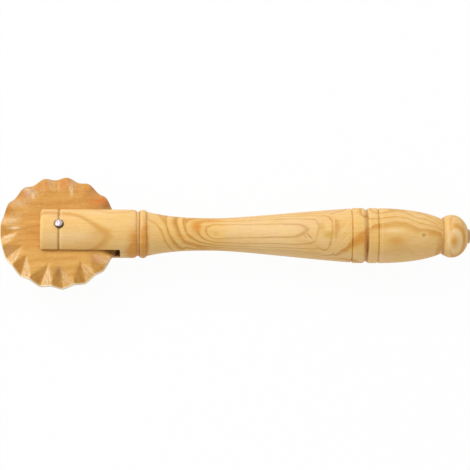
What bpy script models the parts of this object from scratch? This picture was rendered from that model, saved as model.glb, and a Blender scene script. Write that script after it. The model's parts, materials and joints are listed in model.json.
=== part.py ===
"""A wooden pastry wheel, lying on a table.

Three pieces: a turned handle that ends in a sawn fork, a wheel fluted on both faces,
and the domed pin that the wheel turns on. Metres, +Z up, the table at Z = 0, +X from
the wheel towards the pommel. The tool lies rolled over until the wheel's rim touches
the table, so the pieces hang from an empty that holds that pose. In the empty's own
frame X runs along the handle, Z along the pin towards its head, and the origin is the
wheel's centre.
"""

from math import asin, atan2, cos, hypot, pi, radians, sin, sqrt

import bmesh
import bpy
from mathutils import Matrix

# %% Sizes of the wheel
wheel_radius = 0.0252
wheel_thickness = 0.0061
flute_length = 0.0083            # from the rim inwards, where a flute runs out on the face
rim_wave = 0.0032                # from a flute's bottom to the ridge beside it, at the rim
rim_web = 0.0014                 # wood left at the rim between the two faces' flutes
flute_count = 16                 # on each face
first_flute_angle = radians(4.3)

# %% Sizes of the pin
pin_radius = 0.0011
pin_head_radius = 0.0019
pin_head_rim = 0.0004
pin_head_dome = 0.0009
pin_point_length = 0.0020
pin_cover = 0.0020               # wood left over the point in the far tine
pin_seat_depth = 0.0006          # the head's seat, sunk into the near tine

# %% Clearances
pin_gap = 0.0003                 # pin to the handle
wheel_play = 0.0003              # wheel to pin, radially
wheel_side_gap = 0.00045         # wheel to each tine
wheel_end_gap = 0.0006           # rim to the end wall of the slot

# %% Sizes of the fork and its bead
fork_radius = 0.0103
fork_end_round = 0.0016
fork_pin_inset = 0.00805         # from the fork's end to the pin
fork_root_length = 0.00705       # solid wood from the slot's end wall to the crease
fork_shoulder_length = 0.0019
fillet_length = 0.0012           # the flat bottom of the crease, up to the bead
slot_edge_round = 0.0008
pin_groove_width = 0.0018
pin_groove_depth = 0.0005
crease_depth = 0.0008            # the crease between fork and bead, below the fork's outside
bead_width = 0.0030
bead_height = 0.0008             # above the crease

# %% Sizes of the grip
cove_length = 0.0290             # the hollow from the bead down to the neck
neck_radius = 0.00692
swell_length = 0.0580            # from the neck to the bands, thickening all the way
band_radius = 0.01175
front_band_length = 0.0044
rear_band_length = 0.0035
band_step = 0.00025              # how far the bands stand above the swell
line_groove_width = 0.0008       # the two fine grooves beside the bands
line_groove_depth = 0.0007
vee_groove_width = 0.0024        # the wide groove between the bands
vee_groove_depth = 0.00095
tail_length = 0.0269             # from the bands to the pommel

# %% Sizes of the pommel
pommel_radius = 0.00915
pommel_half_length = 0.00746
pommel_neck_depth = 0.00175      # the crease before the pommel, below its widest part
stub_radius = 0.00295            # the flat end left by the lathe
stub_length = 0.0007

# %% Shapes of the curves, as shares of the lengths they span
cove_power_share = 2.8
cove_crowding_share = 1.5
swell_lead_share = 0.18
swell_exit_shares = (0.68, 0.74)
tail_lead_shares = (0.45, 0.02)
tail_exit_shares = (0.82, 0.42)

# %% How finely the pieces are divided
turning_steps = 40
pin_steps = 24
rim_steps_per_flute = 6
round_steps = 3                  # small rounded edges
shoulder_steps = 4
bead_steps = 8
cove_steps = 9
swell_steps = 9
tail_steps = 8
pommel_steps = 11
dome_steps = 4

# %% Working distances
overrun = 0.002                  # how far a cutter reaches past what it cuts
merge_distance = 0.000001


# %% Helpers
def ellipse_reach(radius, half_length, at_radius):
    """How far from its middle an ellipse with these half axes has narrowed to at_radius."""
    return half_length * sqrt(1 - (at_radius / radius) ** 2)


def arc(middle, half_axes, start, end, pieces):
    """Points of an elliptical arc in the profile plane, both ends included."""
    points = []
    for i in range(pieces + 1):
        angle = start + (end - start) * i / pieces
        points.append((middle[0] + half_axes[0] * cos(angle), middle[1] + half_axes[1] * sin(angle)))
    return points


def bezier(start, lead, exit_, end, pieces):
    """Points of a cubic Bezier curve, both ends included."""
    points = []
    for i in range(pieces + 1):
        t = i / pieces
        weights = ((1 - t) ** 3, 3 * t * (1 - t) ** 2, 3 * t * t * (1 - t), t ** 3)
        corners = (start, lead, exit_, end)
        points.append(tuple(sum(w * c[axis] for w, c in zip(weights, corners)) for axis in (0, 1)))
    return points


def vee(at, radius, width, depth):
    """The three points of a V groove that starts at this place."""
    return [(at, radius), (at + width / 2, radius - depth), (at + width, radius)]


def finish(name, colour, roughness, metallic):
    """A material with the piece's own colour and surface."""
    material = bpy.data.materials.new(name)
    material.use_nodes = True
    shader = material.node_tree.nodes["Principled BSDF"]
    shader.inputs["Base Color"].default_value = (*colour, 1.0)
    shader.inputs["Roughness"].default_value = roughness
    shader.inputs["Metallic"].default_value = metallic
    material.diffuse_color = (*colour, 1.0)
    return material


def add_object(name, mesh, collection, parent):
    part = bpy.data.objects.new(name, mesh)
    collection.objects.link(part)
    part.parent = parent
    return part


def turned(name, profile, steps, seam, collection, parent):
    """A solid of revolution about its own Z. The profile is (along, radius), lowest first."""
    mesh = bpy.data.meshes.new(name)
    shape = bmesh.new()
    vertices = [
        shape.verts.new((radius * cos(seam), radius * sin(seam), along))
        for along, radius in reversed(profile)
    ]
    for upper, lower in zip(vertices, vertices[1:]):
        shape.edges.new((upper, lower))
    shape.to_mesh(mesh)
    shape.free()
    part = add_object(name, mesh, collection, parent)
    screw = part.modifiers.new("turning", "SCREW")
    screw.axis = "Z"
    screw.steps = screw.render_steps = steps
    screw.use_merge_vertices = True
    screw.merge_threshold = merge_distance
    screw.use_smooth_shade = False
    return part


def extruded(name, outline, length, collection, parent):
    """A prism: a closed outline in its own XY plane, drawn out along Z to both sides."""
    curve = bpy.data.curves.new(name + "_outline", "CURVE")
    curve.dimensions = "2D"
    curve.fill_mode = "BOTH"
    curve.extrude = length / 2
    spline = curve.splines.new("POLY")
    spline.points.add(len(outline) - 1)
    for point, (x, y) in zip(spline.points, outline):
        point.co = (x, y, 0.0, 1.0)
    spline.use_cyclic_u = True
    guide = bpy.data.objects.new(name + "_outline", curve)
    collection.objects.link(guide)
    bpy.context.view_layer.update()
    mesh = bpy.data.meshes.new_from_object(guide.evaluated_get(bpy.context.evaluated_depsgraph_get()))
    bpy.data.objects.remove(guide)
    shape = bmesh.new()
    shape.from_mesh(mesh)
    bmesh.ops.remove_doubles(shape, verts=shape.verts, dist=merge_distance)
    bmesh.ops.recalc_face_normals(shape, faces=shape.faces)
    shape.to_mesh(mesh)
    shape.free()
    return add_object(name, mesh, collection, parent)


def cylinder(name, radius, length, steps, collection, parent):
    """A cylinder about its own Z, turned so that the middle of a facet faces +X."""
    mesh = bpy.data.meshes.new(name)
    shape = bmesh.new()
    bmesh.ops.create_cone(
        shape, cap_ends=True, segments=steps, radius1=radius, radius2=radius, depth=length,
        matrix=Matrix.Rotation(pi / steps, 4, "Z"),
    )
    shape.to_mesh(mesh)
    shape.free()
    return add_object(name, mesh, collection, parent)


def cut(part, operand, name):
    """Takes a cutter, or every cutter in a collection, out of a part."""
    boolean = part.modifiers.new(name, "BOOLEAN")
    boolean.operation = "DIFFERENCE"
    boolean.solver = "EXACT"
    if isinstance(operand, bpy.types.Collection):
        boolean.operand_type = "COLLECTION"
        boolean.collection = operand
    else:
        boolean.object = operand


def hide_as_cutter(part):
    part.hide_render = True
    part.display_type = "WIRE"


# %% Where the turned features lie, measured along the handle from the fork's end
slot_half_width = wheel_thickness / 2 + wheel_side_gap
slot_end = fork_pin_inset + wheel_radius + wheel_end_gap
crease_at = slot_end + fork_root_length
bead_at = crease_at + fillet_length
cove_at = bead_at + bead_width
neck_at = cove_at + cove_length
swell_end = neck_at + swell_length
front_band_at = swell_end + line_groove_width
vee_groove_at = front_band_at + front_band_length
rear_band_at = vee_groove_at + vee_groove_width
tail_groove_at = rear_band_at + rear_band_length
tail_at = tail_groove_at + line_groove_width
pommel_neck_at = tail_at + tail_length
crease_radius = fork_radius - crease_depth
swell_end_radius = band_radius - band_step
pommel_neck_radius = pommel_radius - pommel_neck_depth
pommel_middle = pommel_neck_at + ellipse_reach(pommel_radius, pommel_half_length, pommel_neck_radius)
stub_at = pommel_middle + ellipse_reach(pommel_radius, pommel_half_length, stub_radius)
handle_length = stub_at + stub_length


# %% The turned outline of the handle
def handle_profile():
    """The handle's outline from the fork's end to the pommel, as (along, radius)."""
    outline = fork_points() + bead_points() + cove_points() + swell_points()
    outline += band_points() + tail_points() + pommel_points()
    return [(along - fork_pin_inset, radius) for along, radius in outline]


def fork_points():
    """The fork's flat end, its rounded edge, the fine groove at the pin, and the shoulder."""
    end_middle = (fork_end_round, fork_radius - fork_end_round)
    shoulder_at = crease_at - fork_shoulder_length
    points = [(0.0, 0.0)]
    points += arc(end_middle, (fork_end_round, fork_end_round), pi, pi / 2, round_steps)
    points += vee(fork_pin_inset - pin_groove_width / 2, fork_radius, pin_groove_width, pin_groove_depth)
    return points + arc((shoulder_at, crease_radius), (fork_shoulder_length, crease_depth),
                        pi / 2, 0.0, shoulder_steps)


def bead_points():
    middle = (bead_at + bead_width / 2, crease_radius)
    return arc(middle, (bead_width / 2, bead_height), pi, 0.0, bead_steps)


def cove_points():
    """The hollow behind the bead: steep where it leaves the bead, level at the neck."""
    points = []
    for i in range(1, cove_steps):
        t = (i / cove_steps) ** cove_crowding_share
        rise = (crease_radius - neck_radius) * (1 - t) ** cove_power_share
        points.append((cove_at + cove_length * t, neck_radius + rise))
    return points


def swell_points():
    rise = swell_end_radius - neck_radius
    lead = (neck_at + swell_length * swell_lead_share, neck_radius)
    exit_ = (neck_at + swell_length * swell_exit_shares[0], neck_radius + rise * swell_exit_shares[1])
    return bezier((neck_at, neck_radius), lead, exit_, (swell_end, swell_end_radius), swell_steps)


def band_points():
    """A fine groove, two bands with the wide groove between them, and a fine groove."""
    points = [(swell_end + line_groove_width / 2, swell_end_radius - line_groove_depth)]
    points += [(front_band_at, band_radius)]
    points += vee(vee_groove_at, band_radius, vee_groove_width, vee_groove_depth)
    return points + vee(tail_groove_at, band_radius, line_groove_width, line_groove_depth)[:2]


def tail_points():
    drop = band_radius - pommel_neck_radius
    lead = (tail_at + tail_length * tail_lead_shares[0], band_radius - drop * tail_lead_shares[1])
    exit_ = (tail_at + tail_length * tail_exit_shares[0], band_radius - drop * tail_exit_shares[1])
    return bezier((tail_at, band_radius), lead, exit_, (pommel_neck_at, pommel_neck_radius), tail_steps)


def pommel_points():
    """The egg-shaped pommel, from its neck to the flat stub on its end."""
    neck_angle = pi - asin(pommel_neck_radius / pommel_radius)
    stub_angle = asin(stub_radius / pommel_radius)
    points = arc((pommel_middle, 0.0), (pommel_half_length, pommel_radius),
                 neck_angle, stub_angle, pommel_steps)[1:]
    return points + [(handle_length, stub_radius), (handle_length, 0.0)]


def slot_outline():
    """The slot's section, across the handle: straight walls that round over to the outside."""
    round_at = slot_half_width + slot_edge_round
    corner_from_axis = fork_radius - slot_edge_round
    corner = sqrt(corner_from_axis ** 2 - round_at ** 2)
    tangent = atan2(corner, round_at)
    quarter = arc((round_at, corner), (slot_edge_round, slot_edge_round), pi, tangent, round_steps)
    reach = fork_radius + overrun
    quarter.append((reach * cos(tangent), reach * sin(tangent)))
    left = [(-x, y) for x, y in reversed(quarter)]
    upper = quarter + left
    return upper + [(-x, -y) for x, y in upper]


# %% The pin, and the hole that it is driven into
head_under = fork_radius - pin_seat_depth + pin_gap
pin_tip = -(fork_radius - pin_cover)


def pin_profile():
    """The pin from its point to the crown of its head, along the wheel's axis."""
    shank = [(pin_tip, 0.0), (pin_tip + pin_point_length, pin_radius), (head_under, pin_radius)]
    dome = arc((head_under + pin_head_rim, 0.0), (pin_head_dome, pin_head_radius), pi / 2, 0.0, dome_steps)
    return shank + [(head_under, pin_head_radius)] + dome


def pin_hole_profile():
    """The hole: blind in the far tine, with a flat seat for the head in the near one."""
    hole_radius = pin_radius + pin_gap
    seat_radius = pin_head_radius + pin_gap
    seat = head_under - pin_gap
    return [
        (pin_tip - pin_gap, 0.0), (pin_tip + pin_point_length - pin_gap, hole_radius),
        (seat, hole_radius), (seat, seat_radius),
        (fork_radius + overrun, seat_radius), (fork_radius + overrun, 0.0),
    ]


# %% How the tool lies
def resting_pose():
    """Where the wheel's centre is, and how the handle is pitched and rolled, at rest.

    The handle rests on the fork's end and on the front band, and has rolled over until
    the ridges of the wheel's rim reach the table.
    """
    pitch = atan2(band_radius - fork_radius, front_band_at - fork_end_round)
    height = fork_radius * cos(pitch) + (fork_pin_inset - fork_end_round) * sin(pitch)
    ridge = (rim_wave + rim_web) / 2
    lean = asin(height / hypot(wheel_radius, ridge)) - atan2(ridge, wheel_radius)
    level_share = min(cos(lean) / cos(pitch), 1.0)
    roll = atan2(sqrt(1 - level_share ** 2), level_share)
    pommel_reach = (handle_length - fork_pin_inset) * cos(pitch)
    return (-(pommel_reach - wheel_radius) / 2, 0.0, height), pitch, roll


# %% The flutes of the wheel
def flute_cutter_mesh(name, collection):
    """One V cutter, its bottom line along X from where a flute starts on the face.

    The bottom slopes down to the rim. The flanks are as steep as it takes for two
    neighbours to meet in a ridge of the wanted height at the rim.
    """
    half_thickness = wheel_thickness / 2
    valley = (rim_web - rim_wave) / 2
    ridge = (rim_web + rim_wave) / 2
    slope = (half_thickness - valley) / flute_length
    half_pitch = pi / flute_count
    start_radius = wheel_radius - flute_length
    below_face = slope * (wheel_radius * cos(half_pitch) - start_radius)
    flank = (ridge - half_thickness + below_face) / (wheel_radius * sin(half_pitch))
    tilt = atan2(slope, 1.0)
    depth = half_thickness - valley + overrun
    section = [(0.0, 0.0), (depth / (flank * cos(tilt)), depth), (-depth / (flank * cos(tilt)), depth)]
    run = flute_length / cos(tilt) + 2 * overrun
    prism = extruded(name, section, run, collection, None)
    lay_along_x = Matrix.Translation((run / 2 - overrun, 0.0, 0.0)) @ Matrix(
        ((0, 0, 1, 0), (1, 0, 0, 0), (0, 1, 0, 0), (0, 0, 0, 1)))
    at_start = Matrix.Translation((start_radius, 0.0, half_thickness))
    prism.data.transform(at_start @ Matrix.Rotation(tilt, 4, "Y") @ lay_along_x)
    mesh = prism.data
    bpy.data.objects.remove(prism)
    return mesh


def add_flute_cutters(collection, wheel):
    """Both faces' cutters, the rear ones half a pitch on, so that the rim zigzags."""
    mesh = flute_cutter_mesh("flute_cutter", collection)
    pitch = 2 * pi / flute_count
    for i in range(flute_count):
        front = add_object(f"front_flute_cutter_{i + 1:02d}", mesh, collection, wheel)
        front.rotation_euler = (0.0, 0.0, i * pitch)
        rear = add_object(f"rear_flute_cutter_{i + 1:02d}", mesh, collection, wheel)
        rear.rotation_euler = (pi, 0.0, (i + 1 / 2) * pitch)


# %% Build
def build_handle(parts, cutters, tool, roll):
    handle = turned("handle", handle_profile(), turning_steps, roll + pi / turning_steps, parts, tool)
    handle.rotation_euler = (0.0, pi / 2, 0.0)
    slot_length = slot_end + overrun
    slot = extruded("slot_cutter", slot_outline(), slot_length, cutters, tool)
    slot.rotation_euler = (0.0, pi / 2, 0.0)
    slot.location = (slot_end - fork_pin_inset - slot_length / 2, 0.0, 0.0)
    hole = turned("pin_hole_cutter", pin_hole_profile(), pin_steps, 0.0, cutters, tool)
    cut(handle, slot, "slot")
    cut(handle, hole, "pin_hole")
    handle.data.materials.append(finish("pale_wood", (0.83, 0.60, 0.31), 0.5, 0.0))
    return handle


def build_wheel(parts, cutters, flute_cutters, tool):
    wheel = cylinder("pastry_wheel", wheel_radius, wheel_thickness, flute_count * rim_steps_per_flute,
                     parts, tool)
    wheel.rotation_euler = (0.0, 0.0, first_flute_angle)
    add_flute_cutters(flute_cutters, wheel)
    bore = cylinder("bore_cutter", pin_radius + wheel_play, wheel_thickness + 2 * overrun, pin_steps,
                    cutters, tool)
    cut(wheel, flute_cutters, "flutes")
    cut(wheel, bore, "bore")
    wheel.data.materials.append(finish("brown_wood", (0.66, 0.33, 0.10), 0.55, 0.0))
    return wheel


def build_pin(parts, tool):
    pin = turned("axle_pin", pin_profile(), pin_steps, 0.0, parts, tool)
    pin.data.materials.append(finish("steel", (0.62, 0.60, 0.60), 0.3, 1.0))
    return pin


def main():
    for old in list(bpy.data.objects):
        bpy.data.objects.remove(old)
    parts = bpy.data.collections.new("pastry_wheel_tool")
    cutters = bpy.data.collections.new("cutters")
    flute_cutters = bpy.data.collections.new("flute_cutters")
    for collection in (parts, cutters, flute_cutters):
        bpy.context.scene.collection.children.link(collection)

    location, pitch, roll = resting_pose()
    tool = bpy.data.objects.new("tool_at_rest", None)
    parts.objects.link(tool)
    tool.location = location
    tool.rotation_euler = (Matrix.Rotation(-pitch, 3, "Y") @ Matrix.Rotation(-roll, 3, "X")).to_euler()

    build_handle(parts, cutters, tool, roll)
    build_wheel(parts, cutters, flute_cutters, tool)
    build_pin(parts, tool)
    for cutter in list(cutters.objects) + list(flute_cutters.objects):
        hide_as_cutter(cutter)
    bpy.context.view_layer.update()


main()
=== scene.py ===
# %% [markdown]
# A wooden pastry wheel, dressed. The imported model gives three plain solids: a turned
# handle with a sawn fork, a fluted wheel, and the pin that the wheel turns on. This
# script makes the fine surface of each one, its grain and its metal, then lights the
# tool on a white table and sets up the camera.
#
# Lengths are in metres. The tool lies on a table at Z = 0, with +X towards the pommel.

import json
from functools import partialmethod
from math import acos, asin, atan2, cos, pi, radians, sin, sqrt

import bmesh
import bpy
from mathutils import Matrix, Vector


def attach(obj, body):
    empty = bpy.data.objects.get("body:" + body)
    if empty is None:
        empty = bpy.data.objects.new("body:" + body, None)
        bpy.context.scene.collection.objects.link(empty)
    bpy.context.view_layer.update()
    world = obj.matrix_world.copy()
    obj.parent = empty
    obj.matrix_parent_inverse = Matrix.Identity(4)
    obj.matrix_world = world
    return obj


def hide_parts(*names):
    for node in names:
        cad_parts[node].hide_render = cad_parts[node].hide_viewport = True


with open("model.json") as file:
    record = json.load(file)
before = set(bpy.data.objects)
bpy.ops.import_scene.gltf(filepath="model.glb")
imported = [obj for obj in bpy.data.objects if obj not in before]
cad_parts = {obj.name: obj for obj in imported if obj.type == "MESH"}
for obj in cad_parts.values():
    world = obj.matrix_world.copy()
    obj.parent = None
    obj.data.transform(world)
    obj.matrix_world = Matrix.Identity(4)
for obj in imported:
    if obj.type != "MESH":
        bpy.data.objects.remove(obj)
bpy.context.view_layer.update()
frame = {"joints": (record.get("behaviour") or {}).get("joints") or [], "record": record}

# %% [markdown]
# Everything on this tool is placed by two lines that cross at the wheel's centre: the
# middle of the handle and the middle of the pin. The record holds both, as the axis of
# the flat face on the pommel and as the axis of the wheel's joint. A matrix made from
# them lets each piece be modelled straight, with X along the handle and Z along the
# pin, and then laid down in one step.

# %% The tool's own axes
spin = frame["joints"][0]
pommel_face = next(m for m in frame["record"]["mounts"] if m["name"] == "pommel_end")
wheel_centre = Vector(spin["pos_m"])
pin_line = Vector(spin["axis"]).normalized()
handle_line = Vector(pommel_face["axis"]).normalized()
across_line = pin_line.cross(handle_line).normalized()
lay_down = Matrix.Translation(wheel_centre) @ Matrix(
    (handle_line, across_line, pin_line)).transposed().to_4x4()
pommel_reach = (Vector(pommel_face["pos_m"]) - wheel_centre).length
roll = acos(min(1, pin_line.z / sqrt(1 - pin_line.x ** 2)))
print(f"wheel centre to pommel end {pommel_reach:.4f} m, rolled {roll:.3f} rad")

# %% [markdown]
# The photograph was taken from almost straight above, from far away, so the lens is
# long. The camera leans a little towards the lower edge of the picture and a little
# to the left, which shows more of the wheel's tilt and bends the grooves of the handle
# slightly towards the pommel.

# %% The camera
camera_distance = 1.3
camera_lean = radians(4.5)
camera_left = radians(2.6)
camera_turn = radians(0.27)
picture_width = 0.2003
picture_middle = Vector((-0.00013, -0.0002, 0.0115))


def add_object(name, data):
    """An object for some data, in the scene."""
    made = bpy.data.objects.new(name, data)
    bpy.context.scene.collection.objects.link(made)
    return made


camera_data = bpy.data.cameras.new("camera")
camera = add_object("camera", camera_data)
camera_data.sensor_width = 36.0
camera_data.lens = camera_data.sensor_width * camera_distance / picture_width
sight = (Matrix.Rotation(-camera_left, 4, "Y") @ Matrix.Rotation(camera_lean, 4, "X")
         @ Matrix.Rotation(camera_turn, 4, "Z"))
camera.matrix_world = (Matrix.Translation(picture_middle) @ sight
                       @ Matrix.Translation((0, 0, camera_distance)))
bpy.context.scene.camera = camera
print(f"lens {camera_data.lens:.0f} mm")

# %% [markdown]
# Shader maths reads best as plain expressions. This class wraps one output socket of a
# material and gives it Python's operators: each one adds a Math node. Its `node` method
# makes any other node: first the node's settings, then the values or links of its
# sockets.

# %% Shader expressions
class Wire:
    """One output socket in a material, usable in Python expressions."""

    def __init__(self, socket):
        self.socket = socket
        self.tree = socket.id_data

    @staticmethod
    def node(tree, kind, settings=None, sockets=None, output=0):
        made = tree.nodes.new("ShaderNode" + kind)
        for name, setting in (settings or {}).items():
            setattr(made, name, setting)
        for name, value in (sockets or {}).items():
            if isinstance(value, Wire):
                tree.links.new(value.socket, made.inputs[name])
            else:
                made.inputs[name].default_value = value
        return Wire(made.outputs[output])

    def math(self, operation, *others):
        sockets = dict(enumerate((self, *others)))
        return Wire.node(self.tree, "Math", {"operation": operation}, sockets)

    __add__ = __radd__ = partialmethod(math, "ADD")
    __sub__ = partialmethod(math, "SUBTRACT")
    __mul__ = __rmul__ = partialmethod(math, "MULTIPLY")
    __truediv__ = partialmethod(math, "DIVIDE")
    __neg__ = partialmethod(math, "MULTIPLY", -1)
    __abs__ = partialmethod(math, "ABSOLUTE")

    def __rsub__(self, other):
        return -self + other

    def clamp(self, low=0, high=1):
        return Wire.node(self.tree, "Clamp", None, {"Value": self, "Min": low, "Max": high})

    def step(self, low, high):
        """0 below low, 1 above high, and a smooth rise between them."""
        return Wire.node(self.tree, "MapRange", {"interpolation_type": "SMOOTHSTEP"},
                         {"Value": self, "From Min": low, "From Max": high})

    def window(self, middle, half_width):
        """1 at the middle, falling smoothly to 0 at half the width to each side."""
        return 1 - abs(self - middle).step(0, half_width)

    def colours(self, low, high):
        """The colour low where this value is 0 and high where it is 1, mixed between."""
        return Wire.node(self.tree, "Mix", {"data_type": "RGBA"},
                         {"Factor": self, 6: low, 7: high}, output=2)

    def over(self, *layers):
        """This colour with others laid over it in turn. Each layer is (factor, colour)."""
        colour = self
        for factor, other in layers:
            colour = factor.colours(colour, other)
        return colour

    def into(self, shader, name):
        """Feeds this value or colour into a shader's socket."""
        self.tree.links.new(self.socket, shader.inputs[name])


def rgb(red, green, blue):
    return (red, green, blue, 1)


def new_material(name, constants):
    """A named material, its node tree and its main shader, with its constant values set."""
    material = bpy.data.materials.new(name)
    material.use_nodes = True
    shader = material.node_tree.nodes["Principled BSDF"]
    for socket, value in constants.items():
        shader.inputs[socket].default_value = value
    return material, material.node_tree, shader


# %% [markdown]
# The table is a sheet of white paper. Seen by the camera, or in the pin's shine, it is
# nearly all plain white light of strength 1, with a small share of the real floor mixed
# in. So the background comes out white and still keeps the tool's soft shadow. For every
# other ray it is a pale floor that sends light up to the underside of the tool.

# %% The table
floor_half = 1.5
shadow_share = 0.04

bpy.ops.mesh.primitive_plane_add(size=2 * floor_half, location=(0, 0, 0))
floor = bpy.context.object
floor.name = "floor"
paper, tree, shader = new_material("white_paper", {"Base Color": rgb(0.9, 0.9, 0.9), "Roughness": 0.9})
white = Wire.node(tree, "Emission", None, {"Color": rgb(1, 1, 1), "Strength": 1.0})
ray_kinds = Wire.node(tree, "LightPath").socket.node.outputs
seen = 0.0
for kind in ("Is Camera Ray", "Is Glossy Ray", "Is Transmission Ray"):
    seen += Wire(ray_kinds[kind])
surface = Wire.node(tree, "MixShader", None,
                    {0: seen.clamp() * (1 - shadow_share), 1: Wire(shader.outputs[0]), 2: white})
surface.into(tree.nodes["Material Output"], "Surface")
floor.data.materials.append(paper)
print(floor.name, floor.dimensions[:])

# %% [markdown]
# The light is that of a white room with one large window to the upper left. The world
# is the room: it fills every shadow. The square lamp is the window: it is strong enough
# to shape the round handle, and large enough to leave no hard shadow. Both together
# light a level surface so that its colour renders about as it is written.

# %% Lights
world = bpy.data.worlds.new("studio")
bpy.context.scene.world = world
world.use_nodes = True
room = world.node_tree.nodes["Background"]
room.inputs["Color"].default_value = rgb(1, 1, 1)
room.inputs["Strength"].default_value = 0.68
bpy.context.scene.view_settings.view_transform = "Standard"

light = bpy.data.lights.new("window", "AREA")
light.size = 0.6
light.energy = 10.5
window = add_object("window", light)
window.location = (-0.75, 0.8, 0.9)
window.rotation_euler = (-window.location).to_track_quat("-Z", "Y").to_euler()
print(window.name, "at", round(window.location.length, 2), "m")

# %% [markdown]
# The handle is turned from one piece of wood: fork, bead, grip and pommel together. On
# a lathe its shape is a single outline, so it is modelled the same way, as one outline
# swept round the middle line. Curved stretches come from arcs and Bezier curves, and
# every groove is a V with its sharp edges just broken by the sandpaper. The sizes below
# begin with the wheel and its room in the slot, then run from the fork's end to the
# pommel.

# %% Sizes of the handle
wheel_radius = 0.0252
wheel_thickness = 0.0061
wheel_side_gap = 0.00045
wheel_end_gap = 0.0006
fork_radius = 0.0103
fork_end_round = 0.0016
fork_pin_inset = 0.00805
fork_root_length = 0.00705
fork_shoulder_length = 0.0019
fillet_length = 0.0012
slot_edge_round = 0.0008
pin_groove_width = 0.0018
pin_groove_depth = 0.0005
crease_depth = 0.0008
bead_width = 0.0030
bead_height = 0.0008
cove_length = 0.0290
neck_radius = 0.00692
swell_length = 0.0580
band_radius = 0.01175
front_band_length = 0.0044
rear_band_length = 0.0035
band_step = 0.00025
line_groove_width = 0.0008
line_groove_depth = 0.0007
vee_groove_width = 0.0024
vee_groove_depth = 0.00095
tail_length = 0.0269
pommel_radius = 0.00915
pommel_half_length = 0.00746
pommel_neck_depth = 0.00175
stub_radius = 0.00295

# %% Where its features lie, from the fork's end
crease_radius = fork_radius - crease_depth
swell_end_radius = band_radius - band_step
pommel_neck_radius = pommel_radius - pommel_neck_depth
slot_half_width = wheel_thickness / 2 + wheel_side_gap
slot_end = fork_pin_inset + wheel_radius + wheel_end_gap
crease_at = slot_end + fork_root_length
bead_at = crease_at + fillet_length
cove_at = bead_at + bead_width
neck_at = cove_at + cove_length
swell_end = neck_at + swell_length
front_band_at = swell_end + line_groove_width
vee_groove_at = front_band_at + front_band_length
rear_band_at = vee_groove_at + vee_groove_width
tail_groove_at = rear_band_at + rear_band_length
tail_at = tail_groove_at + line_groove_width
pommel_neck_at = tail_at + tail_length
pommel_middle = pommel_neck_at + pommel_half_length * sqrt(1 - (pommel_neck_radius / pommel_radius) ** 2)
handle_length = fork_pin_inset + pommel_reach
print(f"handle {handle_length * 1000:.1f} mm long")


# %% [markdown]
# Three small drawing tools make the outline: an arc, a Bezier curve and a V groove. A
# fourth one, `ease`, goes over the finished outline and rounds each sharp corner by a
# fraction of a millimetre. Real wood has no perfectly sharp corner, and the rounded one
# catches a thin line of light.

# %% Curves of an outline
def arc(middle, half_axes, start, end, pieces):
    """Points of an elliptical arc, both ends included."""
    angles = [start + (end - start) * i / pieces for i in range(pieces + 1)]
    return [(middle[0] + half_axes[0] * cos(a), middle[1] + half_axes[1] * sin(a)) for a in angles]


def bezier(corners, pieces):
    """Points of a cubic Bezier curve with these four corners, both ends included."""
    points = []
    for i in range(pieces + 1):
        t = i / pieces
        weights = ((1 - t) ** 3, 3 * t * (1 - t) ** 2, 3 * t * t * (1 - t), t ** 3)
        points.append(tuple(sum(w * c[axis] for w, c in zip(weights, corners)) for axis in (0, 1)))
    return points


def vee(at, radius, width, depth):
    return [(at, radius), (at + width / 2, radius - depth), (at + width, radius)]


def ease(points, reach, pieces=3):
    """The same outline with each clear corner cut back by up to reach and rounded."""
    touching = 1e-9
    nearly_straight = radians(158)
    eased = [points[0]]
    for before, corner, after in zip(points, points[1:], points[2:]):
        corner = Vector(corner)
        back = Vector(before) - corner
        on = Vector(after) - corner
        if min(back.length, on.length) < touching or back.angle(on) > nearly_straight:
            eased.append(tuple(corner))
            continue
        cut = min(reach, back.length / 2.2, on.length / 2.2)
        start = corner + back.normalized() * cut
        end = corner + on.normalized() * cut
        for i in range(pieces + 1):
            t = i / pieces
            eased.append(tuple(start * (1 - t) ** 2 + corner * 2 * t * (1 - t) + end * t * t))
    return eased + [points[-1]]


# %% The handle's outline
def fork_and_bead():
    points = [(0, 0)]
    points += arc((fork_end_round, fork_radius - fork_end_round), (fork_end_round, fork_end_round),
                  pi, pi / 2, 8)
    points += vee(fork_pin_inset - pin_groove_width / 2, fork_radius, pin_groove_width, pin_groove_depth)
    points += arc((crease_at - fork_shoulder_length, crease_radius), (fork_shoulder_length, crease_depth),
                  pi / 2, 0, 10)
    return points + arc((bead_at + bead_width / 2, crease_radius), (bead_width / 2, bead_height),
                        pi, 0, 18)


def grip_and_bands():
    cove_pieces = 26
    cove_spacing = 1.5
    cove_curve = 2.8
    points = []
    for i in range(1, cove_pieces):
        t = (i / cove_pieces) ** cove_spacing
        points.append((cove_at + cove_length * t,
                       neck_radius + (crease_radius - neck_radius) * (1 - t) ** cove_curve))
    gain = swell_end_radius - neck_radius
    points += bezier([(neck_at, neck_radius), (neck_at + swell_length * 0.18, neck_radius),
                      (neck_at + swell_length * 0.68, neck_radius + gain * 0.74),
                      (swell_end, swell_end_radius)], 36)
    points += [(swell_end + line_groove_width / 2, swell_end_radius - line_groove_depth)]
    points += [(front_band_at, band_radius)]
    points += vee(vee_groove_at, band_radius, vee_groove_width, vee_groove_depth)
    return points + vee(tail_groove_at, band_radius, line_groove_width, line_groove_depth)[:2]


def tail_and_pommel():
    drop = band_radius - pommel_neck_radius
    points = bezier([(tail_at, band_radius), (tail_at + tail_length * 0.45, band_radius - drop * 0.02),
                     (tail_at + tail_length * 0.82, band_radius - drop * 0.42),
                     (pommel_neck_at, pommel_neck_radius)], 26)
    neck_angle = pi - asin(pommel_neck_radius / pommel_radius)
    stub_angle = asin(stub_radius / pommel_radius)
    points += arc((pommel_middle, 0), (pommel_half_length, pommel_radius), neck_angle, stub_angle, 36)[1:]
    return points + [(handle_length, stub_radius), (handle_length, 0)]


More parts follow.
